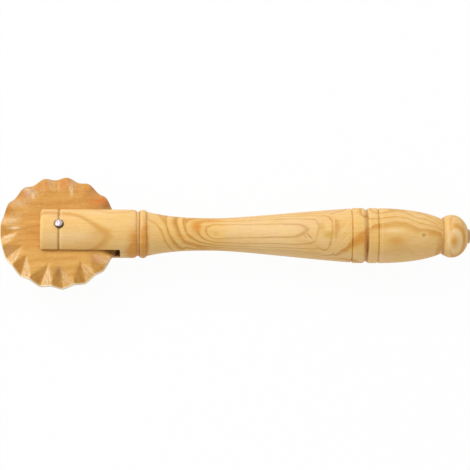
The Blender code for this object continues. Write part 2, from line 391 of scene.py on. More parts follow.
edge_ease = 0.00018
outline = ease(fork_and_bead() + grip_and_bands() + tail_and_pommel(), edge_ease)
print(f"outline of {len(outline)} points, {outline[-1][0]:.4f} m long")


# %% [markdown]
# A small lathe sweeps an outline round the X axis in rings, and closes each end in a
# single point, so the piece is one closed body. A closed body can be carved with the
# Boolean modifier, as the sawn slot and the pin's hole are here. A Screw modifier would
# sweep the outline as well, but writing the rings keeps the ends tidy for the Boolean.

# %% Mesh tools
def add_piece(name, shape):
    """Turns a bmesh into an object in the scene."""
    bmesh.ops.recalc_face_normals(shape, faces=shape.faces)
    mesh = bpy.data.meshes.new(name)
    shape.to_mesh(mesh)
    shape.free()
    return add_object(name, mesh)


def bridge(shape, rings):
    """Joins each ring of vertices to the next one by faces. A ring may be one point."""
    for left, right in zip(rings, rings[1:]):
        for k in range(max(len(left), len(right))):
            places = ((left, k), (left, k + 1), (right, k + 1), (right, k))
            corners = [ring[i % len(ring)] for ring, i in places]
            shape.faces.new(list(dict.fromkeys(corners)))


def turn(name, points, segments):
    """A closed solid of revolution about X. The points are (along, radius), in order."""
    on_axis = 1e-7
    shape = bmesh.new()
    rings = []
    for along, radius in points:
        angles = [0.0] if radius < on_axis else [2 * pi * k / segments for k in range(segments)]
        rings.append([shape.verts.new((along, radius * cos(a), radius * sin(a))) for a in angles])
    bridge(shape, rings)
    return add_piece(name, shape)


def prism(name, section, start, end):
    """A solid drawn out along X from a closed section in the YZ plane."""
    shape = bmesh.new()
    near, far = ([shape.verts.new((x, y, z)) for y, z in section] for x in (start, end))
    shape.faces.new(near)
    shape.faces.new(far)
    bridge(shape, (near, far))
    return add_piece(name, shape)


def carve(piece, cutters):
    """Cuts the cutters out of a piece for good, then throws them away."""
    for cutter in cutters:
        boolean = piece.modifiers.new(cutter.name, "BOOLEAN")
        boolean.operation = "DIFFERENCE"
        boolean.solver = "EXACT"
        boolean.object = cutter
    bpy.context.view_layer.update()
    carved = bpy.data.meshes.new_from_object(piece.evaluated_get(bpy.context.evaluated_depsgraph_get()))
    piece.modifiers.clear()
    piece.data = carved
    for cutter in cutters:
        bpy.data.objects.remove(cutter)


def smooth(piece, angle):
    """Smooth shading, with edges sharper than the angle left crisp."""
    piece.data.shade_smooth()
    piece.data.set_sharp_from_angle(angle=angle)
    print(piece.name, len(piece.data.vertices), "vertices")


# %% [markdown]
# The slot is sawn from the fork's end, a little wider than the wheel, and its edges are
# sanded round where they meet the outside. The pin's hole has three parts: a seat for
# the head in the near tine, a straight bore, and a blind end in the far tine.

# %% Sizes of the pin
pin_radius = 0.0011
pin_head_radius = 0.0019
pin_head_rim = 0.0004
pin_head_dome = 0.0009
pin_gap = 0.0003
pin_seat_depth = 0.0006
pin_cover = 0.0020
pin_point_length = 0.0020
head_under = fork_radius - pin_seat_depth + pin_gap
pin_tip = -(fork_radius - pin_cover)
beyond = fork_radius * 1.3
stand_up = Matrix.Rotation(-pi / 2, 4, "Y")


# %% Turn the handle, saw its slot and drill its hole
def slot_section():
    """The slot's walls, rounded over to the outside of the fork."""
    round_at = slot_half_width + slot_edge_round
    corner = sqrt((fork_radius - slot_edge_round) ** 2 - round_at ** 2)
    tangent = atan2(round_at, corner)
    quarter = arc((corner, round_at), (slot_edge_round, slot_edge_round), -pi / 2, tangent, 8)
    quarter.append((beyond * cos(tangent), beyond * sin(tangent)))
    upper = quarter + [(y, -z) for y, z in reversed(quarter)]
    return upper + [(-y, -z) for y, z in upper]


handle_piece = turn("turned_handle", [(x - fork_pin_inset, r) for x, r in outline], segments=160)
slot_cutter = prism("slot_cutter", slot_section(), -2 * fork_pin_inset, slot_end - fork_pin_inset)
hole_cutter = turn("pin_hole_cutter", [
    (pin_tip - pin_gap, 0), (pin_tip + pin_point_length - pin_gap, pin_radius + pin_gap),
    (head_under - pin_gap, pin_radius + pin_gap), (head_under - pin_gap, pin_head_radius + pin_gap),
    (beyond, pin_head_radius + pin_gap), (beyond, 0)], segments=48)
hole_cutter.data.transform(stand_up)
carve(handle_piece, [slot_cutter, hole_cutter])
smooth(handle_piece, radians(28))

# %% [markdown]
# The wheel is a disc with V flutes filed across its rim, first on one face and then,
# half a pitch on, on the other. What is left between them is a rim that zigzags. A
# file held by hand never cuts two flutes alike, so each front flute has its own place,
# depth and wear: the lower ones are crisp, the upper ones worn down to a soft wave.
# Cutting them one by one with Booleans would leave knife edges. Here each face is a
# height over the disc instead: the lowest of the flat face and of the slopes of the
# flutes, blended where they meet, which gives the worn edges of real wood.

# %% Sizes of the wheel
flute_length = 0.0083
rim_wave = 0.0032
rim_web = 0.0014
flute_count = 16
first_flute = 4.3
wheel_play = 0.0003
half_thickness = wheel_thickness / 2
valley_height = (rim_web - rim_wave) / 2
ridge_height = (rim_web + rim_wave) / 2
pitch = 360 / flute_count
rear_start_share = 1 - flute_length / wheel_radius

# %% Where the flutes lie
front_flutes = (
    # degrees of the valley at the rim and of its inner end, inner end as a share of the radius,
    # how worn it is, how strong its painted highlight on one side and its painted shade on the other
    (4.3, 4.3, 0.67, 0.8, 0.3, 0.3), (26.8, 25, 0.69, 1, 0.1, 0.5),
    (49.3, 50.5, 0.68, 1, 0.1, 0.3), (71.8, 73.5, 0.66, 0.95, 0.3, 0.2),
    (94.3, 96, 0.68, 0.95, 0.2, 0.3), (116.8, 118, 0.66, 0.9, 0.25, 0.3),
    (139.3, 140.5, 0.68, 0.95, 0.2, 0.4), (161.8, 164, 0.64, 0.8, 0.4, 0.3),
    (184.3, 180.5, 0.67, 0.6, 0.45, 0.3), (206.8, 204.5, 0.65, 0.3, 0.45, 0.4),
    (230.5, 219, 0.69, 0.1, 0.65, 0.8), (251.8, 254.5, 0.62, 0.1, 0.7, 0.7),
    (274, 272, 0.66, 0.45, 0.35, 0.6), (297, 304.5, 0.635, 0.25, 0.3, 0.9),
    (320, 322, 0.66, 0.75, 0.3, 0.3), (341.8, 341.8, 0.67, 0.8, 0.3, 0.2))
rear_flutes = []
for k in range(flute_count):
    middle = first_flute + (k + 0.5) * pitch
    rear_flutes.append((middle, middle + 2.2 * sin(2.4 * k), rear_start_share + 0.015 * sin(1.7 * k),
                        0.4 + 0.4 * sin(0.4 * k), 0.6, 0.5))
print(len(front_flutes), "front and", len(rear_flutes), "rear flutes")


# %% The height of a fluted face
ridge_wear = 0.0006
face_wear = 0.0004
valley_wear = 0.00015
side_blend = 0.0008
wave_start = 0.66
wave_curve = 1.6


def on_disc(degrees, radius, height):
    return Vector((radius * cos(radians(degrees)), radius * sin(radians(degrees)), height))


def slope_through(p, q, r):
    """The plane through three points, as height = a * x + b * y + c."""
    n = (q - p).cross(r - p)
    return -n.x / n.z, -n.y / n.z, n.dot(p) / n.z


def cut_slopes(flutes):
    """For each flute: the angle of its valley, its two slopes, its wear, its painted highlight and its
    painted shade.
    """
    cuts = []
    for k, (valley_angle, inner_angle, share, worn, pale, dark) in enumerate(flutes):
        before = flutes[k - 1][0] - (360 if k == 0 else 0)
        after = flutes[(k + 1) % len(flutes)][0] + (360 if k == len(flutes) - 1 else 0)
        inner = on_disc(inner_angle, share * wheel_radius, half_thickness)
        valley = on_disc(valley_angle, wheel_radius, valley_height)
        ridges = [on_disc((valley_angle + side) / 2, wheel_radius, ridge_height) for side in (before, after)]
        slopes = [slope_through(inner, valley, ridge) for ridge in ridges]
        cuts.append((valley_angle, slopes, worn, pale, dark))
    return cuts


def wave_at(degrees, cuts):
    """At an angle: 0 in a valley to 1 on a ridge, and how worn the flutes are there."""
    for k, cut in enumerate(cuts):
        after = cuts[(k + 1) % len(cuts)]
        past = (degrees - cut[0]) % 360
        span = (after[0] - cut[0]) % 360
        if past <= span:
            share = past / span
            towards_next = 0.5 - 0.5 * cos(pi * share)
            return 0.5 - 0.5 * cos(2 * pi * share), cut[2] + (after[2] - cut[2]) * towards_next


def soft_least(a, b, blend):
    """The smaller of two values, rounded where they are close."""
    share = min(max(0.5 + 0.5 * (b - a) / blend, 0), 1)
    return b + (a - b) * share - blend * share * (1 - share)


def fluted_height(radius, degrees, cuts):
    """Height of the face at a place, and its painted light: below 0 for painted shade, above 0 for a painted
    highlight.
    """
    x, y = radius * cos(radians(degrees)), radius * sin(radians(degrees))
    cut_height, shade = half_thickness * 2, 0.0
    for valley_angle, slopes, worn, pale, dark in cuts:
        if abs((degrees - valley_angle + 180) % 360 - 180) > 2 * pitch:
            continue
        left, right = (a * x + b * y + c for a, b, c in slopes)
        floor_height = -soft_least(-left, -right, valley_wear)
        if floor_height < cut_height:
            side = min(max((right - left) / side_blend, -1), 1)
            shade = side * (pale if side > 0 else dark)
        cut_height = soft_least(cut_height, floor_height, ridge_wear)
    crisp = soft_least(half_thickness, cut_height, face_wear)
    crest, worn = wave_at(degrees, cuts)
    outward = min(max((radius / wheel_radius - wave_start) / (1 - wave_start), 0), 1)
    rim_height = valley_height + (ridge_height - valley_height) * crest
    wave = half_thickness - (half_thickness - rim_height) * outward ** wave_curve
    return crisp + (wave - crisp) * worn, shade


# %% [markdown]
# The wheel's mesh is a fan of columns round the pin. Each column goes out over the front
# face, round the rim and back over the rear face. Every point also keeps a number that
# says which side of a flute it is on, for the wheel's material to read: the material
# paints a highlight on one side of each flute and shade on the other.

# %% Make the wheel
wheel_steps = 640
rim_round = 0.00014
bore_radius = pin_radius + wheel_play
fine_step = 0.00024
radii = [0.0017, 0.004, 0.008, 0.012, 0.014]
while radii[-1] < wheel_radius - 2 * fine_step:
    radii.append(radii[-1] + fine_step)
radii.append(wheel_radius - rim_round)


def wheel_column(degrees):
    """The (radius, height, side) points of one column, from the bore round the rim to the bore."""
    front = [(r, *fluted_height(r, degrees, front_cuts)) for r in radii]
    rear = [(r, *fluted_height(r, degrees, rear_cuts)) for r in reversed(radii)]
    top, low = front[-1][1], -rear[0][1]
    inset = 0.3 * rim_round
    rim = [(wheel_radius - inset, top - inset, 0), (wheel_radius, top - rim_round, 0),
           (wheel_radius, low + rim_round, 0), (wheel_radius - inset, low + inset, 0)]
    return ([(bore_radius, half_thickness - rim_round, 0)] + front + rim
            + [(r, -h, side) for r, h, side in rear] + [(bore_radius, rim_round - half_thickness, 0)])


front_cuts, rear_cuts = cut_slopes(front_flutes), cut_slopes(rear_flutes)
shape = bmesh.new()
shade_layer = shape.verts.layers.float.new("flute_shade")
columns = []
for k in range(wheel_steps):
    degrees = 360 * k / wheel_steps
    column = []
    for radius, height, shade in wheel_column(degrees):
        vertex = shape.verts.new(on_disc(degrees, radius, height))
        vertex[shade_layer] = shade
        column.append(vertex)
    columns.append(column)
bridge(shape, columns + columns[:1])
wheel_piece = add_piece("fluted_wheel", shape)
smooth(wheel_piece, radians(50))

# %% [markdown]
# The pin is a steel nail with a low domed head. It is turned on the same lathe as the
# handle, then stood up along the wheel's axis.

# %% Make the pin
dome = arc((head_under + pin_head_rim, 0), (pin_head_dome, pin_head_radius), pi / 2, 0, 14)
pin_outline = [(pin_tip, 0), (pin_tip + pin_point_length, pin_radius), (head_under, pin_radius),
               (head_under, pin_head_radius)] + dome[:-1] + [(head_under + pin_head_rim + pin_head_dome, 0)]
pin_piece = turn("domed_pin", ease(pin_outline, edge_ease / 2), segments=64)
pin_piece.data.transform(stand_up)
smooth(pin_piece, radians(40))

# %% [markdown]
# Wood grain is solid: a tree adds a shell of wood each year, and a turned shape cuts
# through the shells. So the same rule must hold on the outside, in the grooves and on
# the walls of the slot, and it has to be written in space, not painted on. The rule
# here gives each point of the handle a ring number. Going down through the plank lowers
# it. Stations listed along the handle say which ring shows on the upper flank, on
# top and on the lower flank, where the shells swell round a branch. Each whole number
# is the dark line at the end of a year.

# %% Ring numbers along the handle
ring_spacing = 0.9
upper_flank = radians(51)
lower_flank = radians(36)
stations = (
    # mm from the pin, ring on the upper flank, on top, on the lower flank
    (-8, 1.06, 1.45, 1.35), (2.6, 1.02, 1.42, 1.33), (7.9, 0.93, 1.33, 1.22), (13.2, 0.66, 1.2, 1.08),
    (18.6, 0.3, 1.04, 0.85), (22.3, 0.22, 0.9, 0.6), (27.1, 0.2, 0.6, 0.25), (30.5, 0.18, 0.3, 0.12),
    (33, 0.1, 0.1, 0.05), (34.5, -0.3, -0.1, -0.3), (36.6, -0.1, -0.35, -0.6), (38.8, 0.25, -0.6, -0.8),
    (42.2, 0.68, -0.3, -0.45), (44.3, 0.97, 0.13, -0.2), (46.7, 1.45, 1, 0.2), (49.4, 2, 1.6, 0.95),
    (51.4, 2.45, 2, 1.3), (54, 3, 2.85, 1.65), (56.3, 3.3, 3.3, 2), (58, 3.55, 3.6, 2.25),
    (61, 3.95, 4.4, 2.7), (62.8, 4.02, 4.9, 2.9), (64.5, 4.06, 5.1, 3.05),
    (68, 4.12, 5.35, 3.4), (72.4, 4.08, 5.35, 3.55), (80, 3.87, 5.3, 3.4),
    (90, 3.8, 5.25, 3.2), (98.5, 3.65, 5.15, 3.05), (104, 3.45, 4.9, 2.95), (108.5, 3.25, 4.35, 2.9),
    (110.8, 3.05, 3.75, 2.85), (114, 2.75, 3.35, 2.75), (116.9, 2.55, 3, 2.5), (118.5, 2.5, 2.8, 2.2),
    (120.1, 2.5, 2.65, 1.95), (122.3, 2.6, 2.45, 1.75), (124.05, 2.7, 2.25, 1.6), (126.7, 2.8, 2.05, 1.52),
    (128.4, 2.85, 1.9, 1.48), (129.7, 2.85, 1.82, 1.46), (131.5, 2.75, 1.7, 1.45), (133.7, 2.68, 1.54, 1.43),
    (135.4, 2.65, 1.5, 1.42), (138.9, 2.55, 1.44, 1.4), (142, 2.45, 1.4, 1.38), (145, 2.45, 1.42, 1.36),
    (148.5, 2.55, 1.48, 1.38), (151.2, 2.7, 1.6, 1.4), (154.2, 2.75, 1.7, 1.42), (157, 2.85, 1.7, 1.45),
    (159.2, 2.9, 1.7, 1.5), (160.8, 3.1, 1.75, 1.7), (162, 3.3, 1.85, 1.85), (162.8, 3.4, 2.05, 2.05),
    (163.6, 3.5, 2.8, 2.8), (165, 3.5, 3.5, 3.5), (176, 3.5, 3.5, 3.5))
print(len(stations), "stations")


# %% [markdown]
# Between the flanks the ring number is a curve across the plank: a level, a lean and a
# bow. Three wanted numbers at each station give these three terms, with the handle's
# radius there. The radius is taken as a mean over a few millimetres, so that a groove
# cuts into the rings and doesn't carry them down with it. The shells lie flat only in
# the middle of the grip. At both ends of the handle they stand up on edge, so there the
# depth counts for little.

# %% From stations to curves
upright_share = 0.9
lies_down = (55, 68)
stands_up = (112, 124)


def rise(value, low, high):
    t = min(max((value - low) / (high - low), 0), 1)
    return t * t * (3 - 2 * t)


def lying(along):
    """How much the depth counts: 1 where the shells lie flat, little where they stand on edge."""
    return 1 - upright_share * (1 - rise(along, *lies_down) + rise(along, *stands_up))


def radius_near(along):
    """The handle's mean radius in mm within 2 mm of a place along it."""
    def at(place):
        for (x0, r0), (x1, r1) in zip(outline, outline[1:]):
            if x1 > x0 and x0 <= place <= x1:
                return r0 + (r1 - r0) * (place - x0) / (x1 - x0)
        return 0.0
    places = [along / 1000 + fork_pin_inset + step / 1000 for step in (-2, -1, 0, 1, 2)]
    inside = [at(min(max(p, 0.002), outline[-1][0] - 0.0015)) for p in places]
    return 1000 * sum(inside) / len(inside)


def plank_terms(along, upper, top, lower):
    """Level, lean and bow: ring = depth * slope + level + lean * across + bow * across**2."""
    radius = radius_near(along)
    slope = lying(along) / ring_spacing
    level = top - radius * slope
    y_up, y_down = radius * sin(upper_flank), -radius * sin(lower_flank)
    need_up = upper - level - radius * cos(upper_flank) * slope
    need_down = lower - level - radius * cos(lower_flank) * slope
    bow = (need_up / y_up - need_down / y_down) / (y_up - y_down)
    return level, need_up / y_up - bow * y_up, bow


terms = [plank_terms(*station) for station in stations]
print("level from", round(min(t[0] for t in terms), 1), "to", round(max(t[0] for t in terms), 1))


# %% [markdown]
# A few helpers turn those tables into shader nodes. A Float Curve holds a value for each
# station and runs smoothly between them. `in_frame` gives the point being shaded in
# millimetres, measured along a chosen set of axes, from the object's own coordinates,
# so the grain moves with the piece.

# %% Helpers for wood
def in_frame(tree, placed):
    """The point being shaded, in mm, in the axes of a placing matrix."""
    point = Wire.node(tree, "TexCoord", output="Object")
    local = Wire.node(tree, "Mapping", {"vector_type": "TEXTURE"},
                      {"Vector": point, "Location": placed.to_translation(), "Rotation": placed.to_euler()})
    return stretched(local, (1000, 1000, 1000))


def stretched(vector, factors):
    return Wire.node(vector.tree, "VectorMath", {"operation": "MULTIPLY"}, {0: vector, 1: factors})


def parts(vector):
    split = Wire.node(vector.tree, "SeparateXYZ", None, {"Vector": vector})
    return [Wire(output) for output in split.socket.node.outputs]


def combined(tree, *values):
    return Wire.node(tree, "CombineXYZ", None, dict(enumerate(values)))


def from_middle(a, b):
    """How far out a point is that lies a to one side and b along the other."""
    return (a * a + b * b).math("SQRT")


def lookup(value, table):
    """A smooth curve through pairs of (value, result), with results from 0 to 1."""
    low, high = table[0][0], table[-1][0]
    made = Wire.node(value.tree, "FloatCurve", None, {"Value": (value - low) / (high - low)})
    mapping = made.socket.node.mapping
    points = mapping.curves[0].points
    while len(points) < len(table):
        points.new(0.5, 0.5)
    for point, (place, result) in zip(points, table):
        point.location = ((place - low) / (high - low), result)
    mapping.update()
    return made


def along_stations(along, values):
    """A smooth curve with one value for each station."""
    low, high = min(values), max(values)
    table = [(s[0], (v - low) / (high - low)) for s, v in zip(stations, values)]
    return lookup(along, table) * (high - low) + low


def cloud(vector, factors=(1, 1, 1), detail=2, roughness=0.5, scale=1):
    """Soft noise from about -1 to 1. A larger factor makes it finer along that axis."""
    made = Wire.node(vector.tree, "TexNoise", None, {
        "Vector": stretched(vector, factors), "Scale": scale, "Detail": detail, "Roughness": roughness})
    return (made - 0.5) * 2


def spot(along, across, at, size, degrees=0):
    """1 at a place on the plank, falling smoothly to 0 a few sizes away from it."""
    c, s = cos(radians(degrees)), sin(radians(degrees))
    a = ((along - at[0]) * c + (across - at[1]) * s) / size[0]
    b = ((across - at[1]) * c - (along - at[0]) * s) / size[1]
    return (-(a * a + b * b)).math("EXPONENT")


def spots(along, across, rows):
    """A sum of spots. A row is place, side, length, breadth, turn in degrees, strength."""
    total = 0.0
    for place, side, length, breadth, degrees, strength in rows:
        total += spot(along, across, (place, side), (length, breadth), degrees) * strength
    return total


def marbled(colour, noise, gain, high, low, where=1):
    """Tints a colour where noise is high and where it is low. A tint is strength, r, g, b."""
    for signed_gain, (strength, *tint) in ((gain, high), (-gain, low)):
        colour = colour.over(((noise * signed_gain).clamp() * where * strength, rgb(*tint)))
    return colour


def dress(piece, material, shader, colour, roughness, relief, bump_strength, bump_height):
    """Feeds the shader its colour, roughness and relief, and gives the piece its material."""
    bump = Wire.node(colour.tree, "Bump", None, {
        "Strength": bump_strength, "Distance": bump_height, "Height": relief})
    colour.into(shader, "Base Color")
    roughness.clamp().into(shader, "Roughness")
    bump.into(shader, "Normal")
    piece.data.materials.append(material)
    print(material.name, len(colour.tree.nodes), "nodes")


# %% [markdown]
# The handle's wood is pale, with golden bands where each year's growth ends. The ring
# number, bent by a little noise and by a swirl beside the branch, is split into the
# nearest year and the season round it. Each band then rises slowly and ends sooner, as
# late wood does. How wide and how dark a band is depends on its year and on where it
# is, and a few soft spots add what this one piece of wood has: a thick band at the
# shoulder and bead, and broad ones where the rings pinch together.

# %% The handle's growth rings
plank_frame = lay_down @ Matrix.Rotation(roll + camera_lean, 4, "X")
handle_wood, tree, shader = new_material("handle_wood", {"Specular IOR Level": 0.3})
plank = in_frame(tree, plank_frame)
along, across, depth = parts(plank)
near_side = depth.step(-2, 3)
level, lean, bow = (along_stations(along, [t[k] for t in terms]) for k in range(3))
slope = along_stations(along, [lying(s[0]) / ring_spacing for s in stations])
shift = cloud(plank, (0.06, 0.25, 0.25), 3)
side_shift = cloud(plank, (0.11, 0.2, 0.2), scale=1.3)
jitter = cloud(plank, (0.45, 0.7, 0.7))
bent_along = along + side_shift * 0.8 + jitter * 0.3
bent_across = across + side_shift * 0.35 + jitter * 0.16
bent = (bent_along, bent_across)
swirl = spot(along, across, (66.6, -0.2), (3, 1.9)) * near_side
ring = (depth + shift * 0.16) * slope + level + (lean + bow * bent_across) * bent_across + swirl * 0.5
ring = ring + (ring - 2).clamp(0, 9) * along.step(127, 137) * 2
year = ring.math("ROUND")
season = ring - year

# %% How wide and how dark each band is
year_width = lookup(year, (
    (-26, 0.3), (-2, 0.3), (-1, 0.35), (0, 0.3), (1, 0.75), (2, 0.8), (3, 0.5), (4, 0.6), (5, 0.4),
    (8, 0.3)))
year_dark = lookup(year, (
    (-26, 0.4), (-3, 0.4), (-1, 0.5), (0, 0.7), (1, 0.85), (2, 1), (3, 0.9), (4, 0.85), (5, 0.75),
    (8, 0.6)))
place_width = lookup(along, (
    (-10, 0.28), (20, 0.28), (32, 0.3), (42, 0.6), (48, 0.95), (60, 0.95), (70, 0.7), (85, 0.6),
    (108, 0.6), (116, 0.6), (131, 0.5), (140, 0.7), (155, 0.7), (160, 0.8), (178, 0.8)))
place_dark = lookup(along, (
    (-10, 0.6), (16, 0.6), (24, 0.5), (36, 0.6), (42, 0.8), (50, 1), (62, 1), (70, 0.85), (85, 0.9),
    (104, 0.9), (110, 0.65), (116, 0.75), (122, 0.85), (128, 0.8), (134, 0.6), (142, 0.4), (150, 0.4),
    (157, 0.45), (165, 0.5), (178, 0.5)))
place_gold = lookup(along, (
    (-10, 0.75), (20, 0.8), (30, 0.6), (36, 0.6), (42, 0.9), (64, 1), (72, 0.6), (85, 0.3),
    (108, 0.4), (118, 0.8), (126, 1), (140, 1), (150, 0.8), (165, 0.8), (178, 0.7)))
patchy = cloud(plank, (0.05, 0.3, 0.3), scale=1.3) * 0.35 + 0.9
width = year_width * place_width
edge = 1 - season.step(0, place_width * 0.2 + 0.05)
halo = season.step(width * -0.65 - 0.06, width * -0.25) * edge
core = season.step(width * -0.5, width * -0.05) * edge
halo = (halo * year_dark * place_gold * patchy).clamp()
core = (core * year_dark * place_dark * patchy).clamp()
print(len(tree.nodes), "nodes make the bands")

# %% Places where a band is broad
broad_spots = (
    # mm from the pin, mm across, length and breadth, turn in degrees, strength
    (18.5, 0.9, 4.5, 1.1, -32, 0.45), (0, 8.3, 9, 1, -4, 0.45), (31.6, -6, 2.2, 4.2, 0, 1.3),
    (31.2, -8.4, 3, 2.4, 0, 1), (31.8, -0.6, 2.4, 3.2, 0, 0.7), (36.2, -3.8, 1.3, 7.5, 0, 2.4),
    (52, -1.2, 1.8, 0.9, -40, 0.8), (58.2, 3.3, 2.2, 2.4, 0, 1.5), (64, 5.8, 4.5, 0.8, 0, 1),
    (58, -4.6, 4.5, 0.8, -17, 1.2), (115.9, 1.4, 0.7, 2.2, 0, 0.5),
    (128, -1, 3.4, 2.3, 30, 1.9), (122.6, -5.4, 3.2, 1, 35, 0.6), (130.2, -5.5, 0.8, 5, 0, 1.3),
    (135.2, 4, 2.4, 1.2, 0, 0.4), (143, -2, 3.4, 1.9, 0, 0.75), (158.4, 1.6, 2.6, 1.5, 0, 0.5),
    (161.4, -2.6, 1.2, 5, 0, 0.4))
broad = (spots(*bent, broad_spots) * near_side * patchy).clamp()
print(len(broad_spots), "broad places")

# %% [markdown]
# Colour comes in layers, from the largest to the smallest. First come slow drifts
# between cream, yellow and pink, with a cream and a tan patch on the fork. Over them lie
# the golden bands with their darker ends, and then the fibres, clouds and specks of the
# wood itself.

# %% The handle's colour
drift = cloud(plank, (0.05, 0.16, 0.16))
tint = cloud(plank, (0.14, 0.2, 0.2), 1)
fibres = cloud(plank, (0.10, 1.3, 1.3), 3, 0.65)
mottle = cloud(plank, (0.6, 1, 1), 2, 0.6)
specks = cloud(plank, (0.8, 2.2, 2.2), 2, 0.6)
colour = (drift + 0.5).clamp().colours(rgb(0.83, 0.50, 0.165), rgb(0.86, 0.575, 0.26))
colour = marbled(colour, tint, 1.2, (0.6, 0.87, 0.51, 0.27), (0.6, 0.86, 0.59, 0.16))
golden = (place_gold * 1.3 - 0.6).clamp() * (0.8 - abs(across).step(4, 9) * 0.5)
colour = colour.over(
    (golden, rgb(0.84, 0.50, 0.105)),
    (along.window(88, 22) * near_side * 0.35, rgb(0.90, 0.63, 0.30)),
    (spot(*bent, (5, -1.5), (9, 3)) * near_side * 0.4, rgb(0.90, 0.62, 0.36)),
    (spot(along, across, (13, -4.6), (6, 2)) * near_side * 0.5, rgb(0.78, 0.44, 0.12)),
    (spot(along, across, (15.9, -0.2), (3.6, 2.2)) * near_side * 0.42, rgb(0.62, 0.31, 0.09)),
    (halo * 0.9, rgb(0.71, 0.36, 0.06)),
    (core * 0.8, place_gold.colours(rgb(0.48, 0.26, 0.11), rgb(0.58, 0.25, 0.03))),
    ((core - 0.6).clamp(), rgb(0.42, 0.16, 0.02)),
    (broad * 0.95, rgb(0.69, 0.285, 0.028)))
colour = marbled(colour, fibres, 0.9, (0.45, 0.55, 0.30, 0.10), (0.5, 0.95, 0.72, 0.42))
colour = marbled(colour, mottle, 0.8, (0.25, 0.56, 0.32, 0.12), (0.3, 0.95, 0.72, 0.42))
colour = colour.over(((specks * 0.5 + 0.1).clamp() * 0.25, rgb(0.55, 0.31, 0.11)))
print(len(tree.nodes), "nodes up to the wood's own colour")

# %% [markdown]
# Then come the marks of this piece. On the tail the saw grazed one more shell, which
# left a soft oval beside a pale streak, and near the pommel there is a small knot. Fine
# slanting scratches cross the thick end of the grip, beside a bruise with short cracks.
# The pommel cuts one shell nearly level, so a ring with a dark core shows on it.

# %% The marks of this piece
oval = spot(*bent, (142.5, -5), (5, 2.6)) + spot(along, across, (148.3, -5.8), (3.6, 0.8), -42)
pale_streak = spot(bent_along, across, (142, 2.3), (4.5, 1)) * near_side
colour = colour.over(((oval * patchy * near_side).clamp() * 0.3, rgb(0.60, 0.34, 0.14)),
                     (pale_streak * 0.5, rgb(0.95, 0.72, 0.40)))

hatch = cloud(combined(tree, (along - across) * 1.5, (along + across) * 0.12, depth * 0.2))
hatched = spot(along, across, (120.6, 0.8), (3.6, 5.2)) * near_side
colour = marbled(colour, hatch, 1.4, (0.85, 0.55, 0.30, 0.10), (0.6, 0.95, 0.70, 0.38), hatched)

bead_a, bead_b = along - 168.1, (across + 2.2) / 1.6
bead_far = (bead_a * bead_a + bead_b * bead_b + shift * 1.2).math("SQRT")
bead_ring = bead_far.step(3, 4.1) * (1 - bead_far.step(4.3, 5.4)) * along.step(166, 168.5)
bead_core = spot(along, across, (167.7, -2.2), (1.2, 2.3))
pommel_marks = ((bead_ring + bead_core * 1.2) * patchy * near_side).clamp()
knot_far = from_middle((along - 154.5) * 0.7, across - 0.3)
cracks = near_side * spots(along, across, (
    (105.6, -0.1, 0.9, 0.18, -52, 1), (106.6, -0.9, 0.8, 0.16, -48, 1),
    (104.4, -0.7, 0.6, 0.16, -60, 1)))
colour = colour.over(
    (bead_far.window(2.5, 1.6) * along.step(163.3, 164.3) * near_side * 0.5, rgb(0.93, 0.68, 0.36)),
    (pommel_marks * 0.9, rgb(0.68, 0.32, 0.05)),
    (knot_far.window(1.3, 0.7) * near_side * 0.3, rgb(0.93, 0.68, 0.32)),
    ((1 - knot_far.step(0.1, 0.8)) * near_side * 0.75, rgb(0.40, 0.21, 0.03)),
    (spot(*bent, (114.2, 0.3), (2.2, 1.5)) * near_side * 0.75, rgb(0.60, 0.37, 0.05)),
    (cracks.clamp() * 0.9, rgb(0.34, 0.17, 0.04)))
print(len(tree.nodes), "nodes with this piece's marks")

# %% [markdown]
# Dark lines are painted at the bottom of each groove, in the creases beside the bead and
# before the pommel, and round the pin: partly dirt that gathers where a cloth doesn't reach,
# partly painted shade where shade falls in them. Each place is a window along the handle.
# The sawn walls of the slot are painted nearly black-brown as shade, darkest deeper in.
# The fork's end and the edges of the thick bands get painted highlights instead.

# %% Dirt and painted shade in the grooves, painted highlights on edges, painted shade in the slot
def from_pin(place):
    """mm from the pin, for a place in metres from the fork's end."""
    return (place - fork_pin_inset) * 1000


creases = (
    # mm from the pin, half width in mm, strength
    (-0.15, 0.75, 0.75), (from_pin(bead_at), 0.6, 0.85), (from_pin(cove_at) + 0.1, 0.5, 0.3),
    (from_pin(swell_end + line_groove_width / 2), 0.5, 0.05),
    (from_pin(vee_groove_at + vee_groove_width * 0.62), 0.8, 0.8),
    (from_pin(tail_groove_at + line_groove_width / 2), 0.5, 0.2),
    (from_pin(pommel_neck_at) + 0.5, 0.8, 0.7), (from_pin(handle_length), 1, 1.1))
# dark lines in the grooves and creases: dirt, and painted shade where shade falls in them
grime_and_shade = spot(along, across, (130.9, -4.8), (0.7, 3.2)) * near_side * 0.6
for place, half_width, strength in creases:
    grime_and_shade += along.window(place, half_width) * strength
uneven = cloud(plank, (0.3, 0.25, 0.25)) * 0.3 + 0.85
# painted highlights on the rounded fork end and on the edges of the thick bands
edge_highlights = along.window(1, 0.5) + along.window(131.9, 0.6) * 0.5 + along.window(137, 0.6) * 0.6

tool_along, tool_across, tool_up = parts(in_frame(tree, lay_down))
slot_depth = (fork_radius * 1000 - from_middle(tool_across, tool_up)).step(0.1, 1.6)
wall_at, root_at = slot_half_width * 1000, from_pin(slot_end)
# painted shadow: the slot's walls are painted nearly black-brown, darker deeper in, where shade falls
# between the tines and the wheel
slot_shade = 1 - abs(tool_up).step(wall_at - 0.1, wall_at + 0.35)
slot_shade = slot_shade * (1 - tool_along.step(root_at, root_at + 0.3))
colour = colour.over(
    ((grime_and_shade * uneven).clamp(), rgb(0.30, 0.13, 0.035)),
    ((edge_highlights * 0.4).clamp(), rgb(0.93, 0.68, 0.36)),
    (slot_shade * (slot_depth * 0.25 + 0.75), rgb(0.13, 0.028, 0.009)))
print(len(creases), "creases hold grime")

